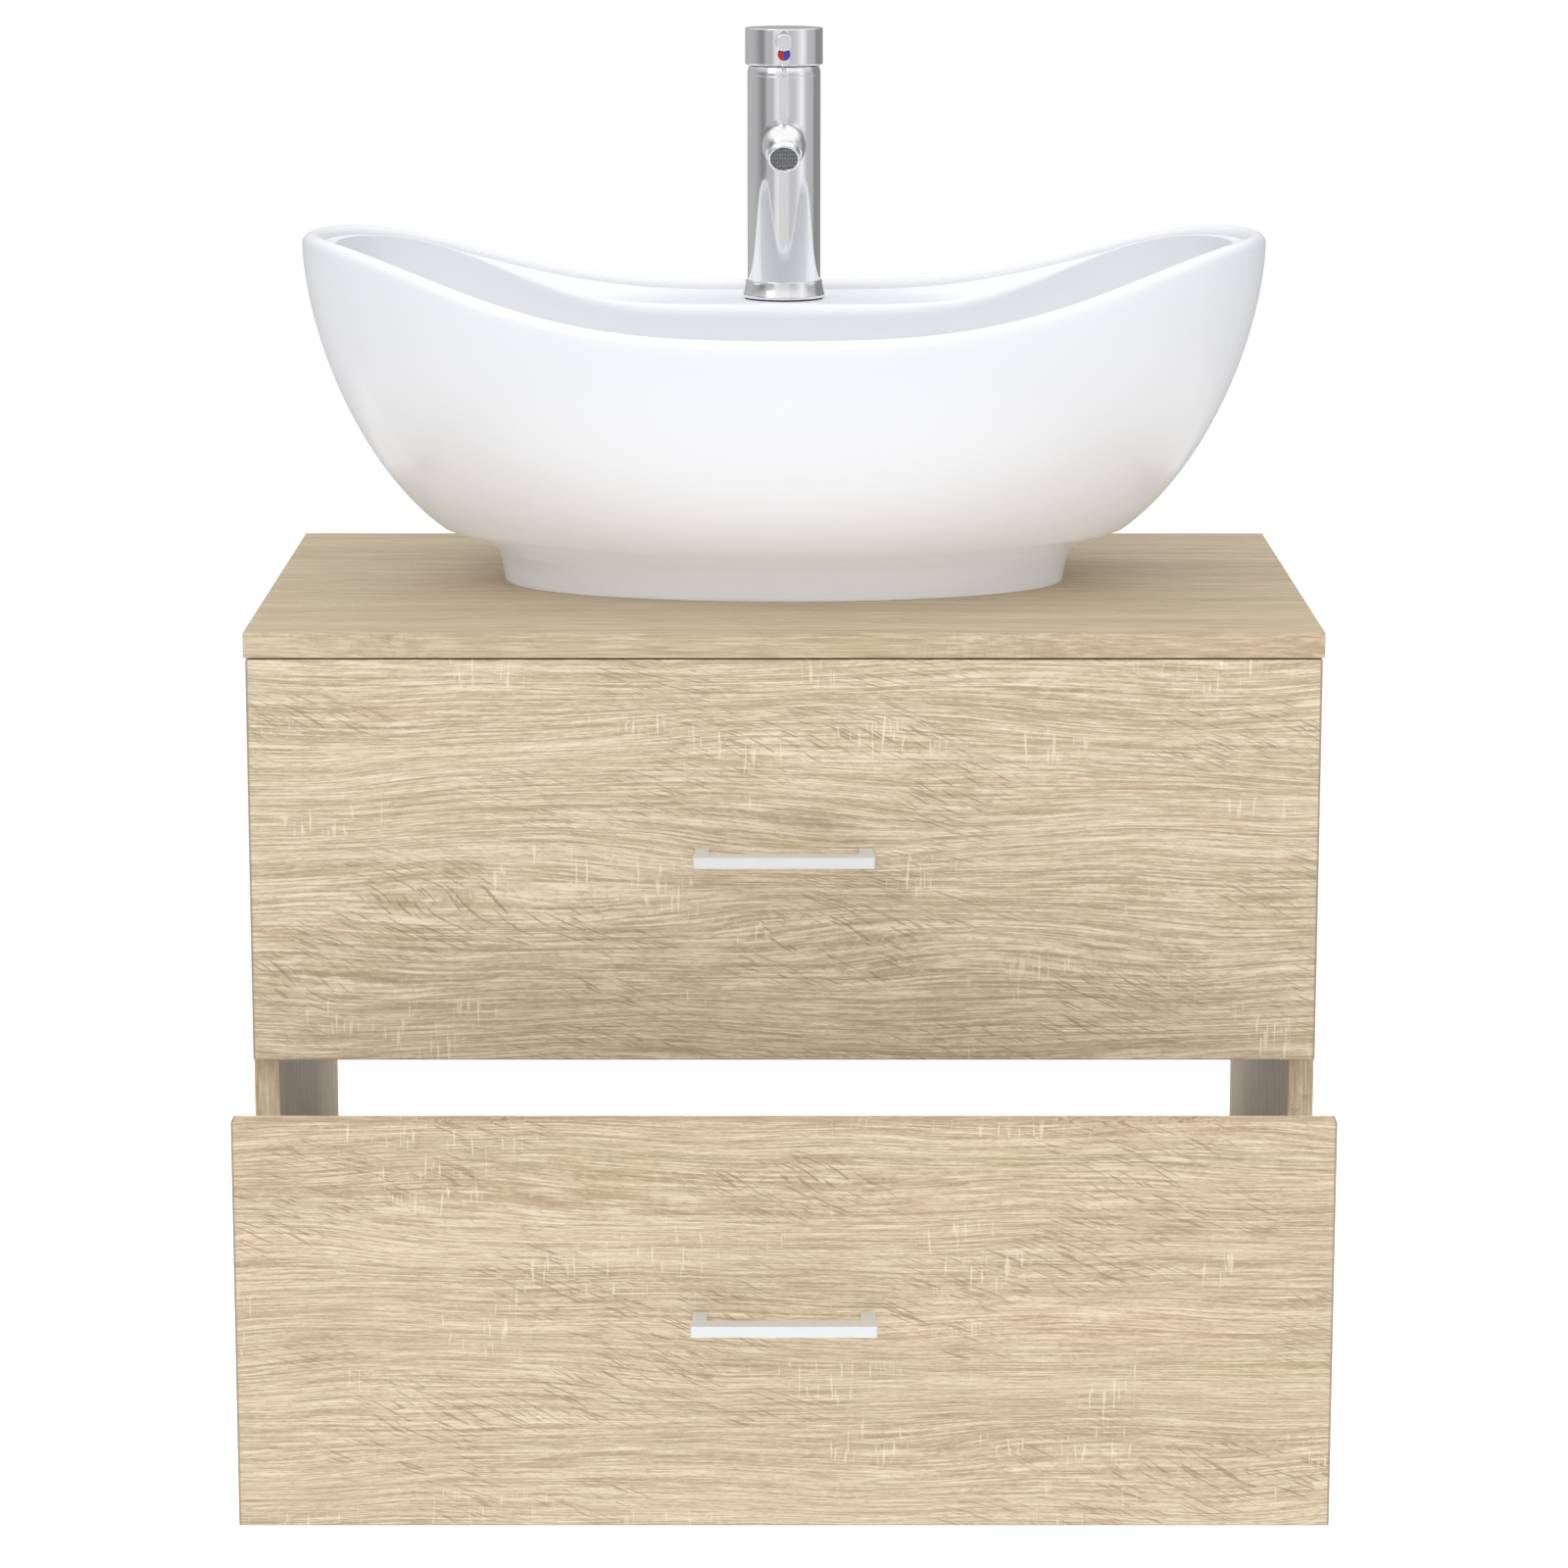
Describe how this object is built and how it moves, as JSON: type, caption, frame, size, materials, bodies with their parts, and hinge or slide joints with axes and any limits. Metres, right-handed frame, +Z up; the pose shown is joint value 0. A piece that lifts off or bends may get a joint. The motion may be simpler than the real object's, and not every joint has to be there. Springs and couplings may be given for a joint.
{
  "type": "vessel sink on vanity",
  "caption": "Wall-hung oak-look washstand with two pull-out drawers, a boat-shaped countertop basin and a single-lever mixer tap.",
  "frame": {"origin": "midway between the two upper wall screws, on the wall plane", "axes": "+X to the user's right as they face it, +Y into the wall, +Z up; the fronts face -Y"},
  "size_m": [0.63, 0.556, 0.8332],
  "materials": {
    "oak_laminate": "oak-look laminate, matt with a fine pore texture",
    "beech": "raw beech",
    "white_board": "white foil on fibreboard, matt",
    "ceramic_glaze": "glossy white glaze",
    "rubber_seal": "matt",
    "waste_chrome": "polished",
    "tap_chrome": "polished",
    "screen_steel": "woven wire",
    "cartridge_plastic": "moulded",
    "zinc_steel": "zinc plated",
    "runner_enamel": "white epoxy enamel",
    "roller_nylon": "moulded nylon",
    "surround_plastic": "grained light grey",
    "handle_satin": "satin",
    "mark_red": "glossy",
    "mark_blue": "glossy"
  },
  "bodies": {
    "cabinet": {"top_panel": "oak_laminate", "side_panel_left": "oak_laminate", "side_panel_right": "oak_laminate", "bottom_panel": "oak_laminate", "back_rail_upper": "oak_laminate", "back_rail_lower": "oak_laminate", "carcass_dowels": "beech", "basin": "ceramic_glaze", "waste_gasket_upper": "rubber_seal", "waste_body": "waste_chrome", "waste_gasket_lower": "rubber_seal", "waste_nut": "waste_chrome", "waste_tailpiece": "waste_chrome", "tap_foot_ring": "tap_chrome", "tap_gasket": "rubber_seal", "tap_body": "tap_chrome", "tap_spout": "tap_chrome", "aerator_housing": "tap_chrome", "aerator_screen": "screen_steel", "tap_cartridge": "cartridge_plastic", "cartridge_nut": "tap_chrome", "tap_stud": "zinc_steel", "tap_clamp_plate": "zinc_steel", "tap_stud_nut": "zinc_steel", "runner_upper_left": "runner_enamel", "runner_upper_right": "runner_enamel", "runner_lower_left": "runner_enamel", "runner_lower_right": "runner_enamel"},
    "upper_front_roller_pair": {"upper_front_rollers": "roller_nylon"},
    "lower_front_roller_pair": {"lower_front_rollers": "roller_nylon"},
    "upper_drawer": {"upper_front": "oak_laminate", "upper_side_left": "white_board", "upper_side_right": "white_board", "upper_back": "white_board", "upper_bottom": "white_board", "siphon_surround": "surround_plastic", "upper_handle": "handle_satin", "upper_handle_screws": "zinc_steel", "upper_rail_left": "runner_enamel", "upper_rail_right": "runner_enamel"},
    "upper_rear_roller_pair": {"upper_rear_rollers": "roller_nylon"},
    "lower_drawer": {"lower_front": "oak_laminate", "lower_side_left": "white_board", "lower_side_right": "white_board", "lower_back": "white_board", "lower_bottom": "white_board", "lower_handle": "handle_satin", "lower_handle_screws": "zinc_steel", "lower_rail_left": "runner_enamel", "lower_rail_right": "runner_enamel"},
    "lower_rear_roller_pair": {"lower_rear_rollers": "roller_nylon"},
    "tap_swivel": {"spindle_carrier": "cartridge_plastic", "spindle_pin": "zinc_steel"},
    "tap_lever": {"cartridge_spindle": "cartridge_plastic", "handle_cap": "tap_chrome", "lever_pin": "tap_chrome", "indicator_hot": "mark_red", "indicator_cold": "mark_blue", "grub_screw": "zinc_steel"},
    "waste_stopper": {"waste_plug": "waste_chrome"}
  },
  "joints": [
    {"name": "upper_drawer_slide", "type": "slide", "parent": "cabinet", "child": "upper_drawer", "axis": [0, -1, 0], "range_m": [0, 0.26]},
    {"name": "lower_drawer_slide", "type": "slide", "parent": "cabinet", "child": "lower_drawer", "axis": [0, -1, 0], "range_m": [-0.127, 0.133]},
    {"name": "tap_turn", "type": "hinge", "parent": "cabinet", "child": "tap_swivel", "pos_m": [0, -0.07, 0.3549], "axis": [0, 0, 1], "range_deg": [-45, 45]},
    {"name": "tap_lift", "type": "hinge", "parent": "tap_swivel", "child": "tap_lever", "pos_m": [0, -0.07, 0.3549], "axis": [-1, 0, 0], "range_deg": [0, 22]},
    {"name": "stopper_slide", "type": "slide", "parent": "cabinet", "child": "waste_stopper", "axis": [0, 0, -1], "range_m": [0, 0.008]},
    {"name": "upper_front_rollers_spin", "type": "hinge", "parent": "cabinet", "child": "upper_front_roller_pair", "pos_m": [0, -0.369, -0.1785], "axis": [1, 0, 0], "continuous": true},
    {"name": "lower_front_rollers_spin", "type": "hinge", "parent": "cabinet", "child": "lower_front_roller_pair", "pos_m": [0, -0.369, -0.4125], "axis": [1, 0, 0], "continuous": true},
    {"name": "upper_rear_rollers_spin", "type": "hinge", "parent": "upper_drawer", "child": "upper_rear_roller_pair", "pos_m": [0, -0.047, -0.1792], "axis": [1, 0, 0], "continuous": true},
    {"name": "lower_rear_rollers_spin", "type": "hinge", "parent": "lower_drawer", "child": "lower_rear_roller_pair", "pos_m": [0, -0.174, -0.4132], "axis": [1, 0, 0], "continuous": true}
  ],
  "couplings": [
    {"joint": "upper_front_rollers_spin", "follows": "upper_drawer_slide", "rad_per_m": 117.65},
    {"joint": "upper_rear_rollers_spin", "follows": "upper_drawer_slide", "rad_per_m": 117.65},
    {"joint": "lower_front_rollers_spin", "follows": "lower_drawer_slide", "rad_per_m": 117.65},
    {"joint": "lower_rear_rollers_spin", "follows": "lower_drawer_slide", "rad_per_m": 117.65}
  ]
}
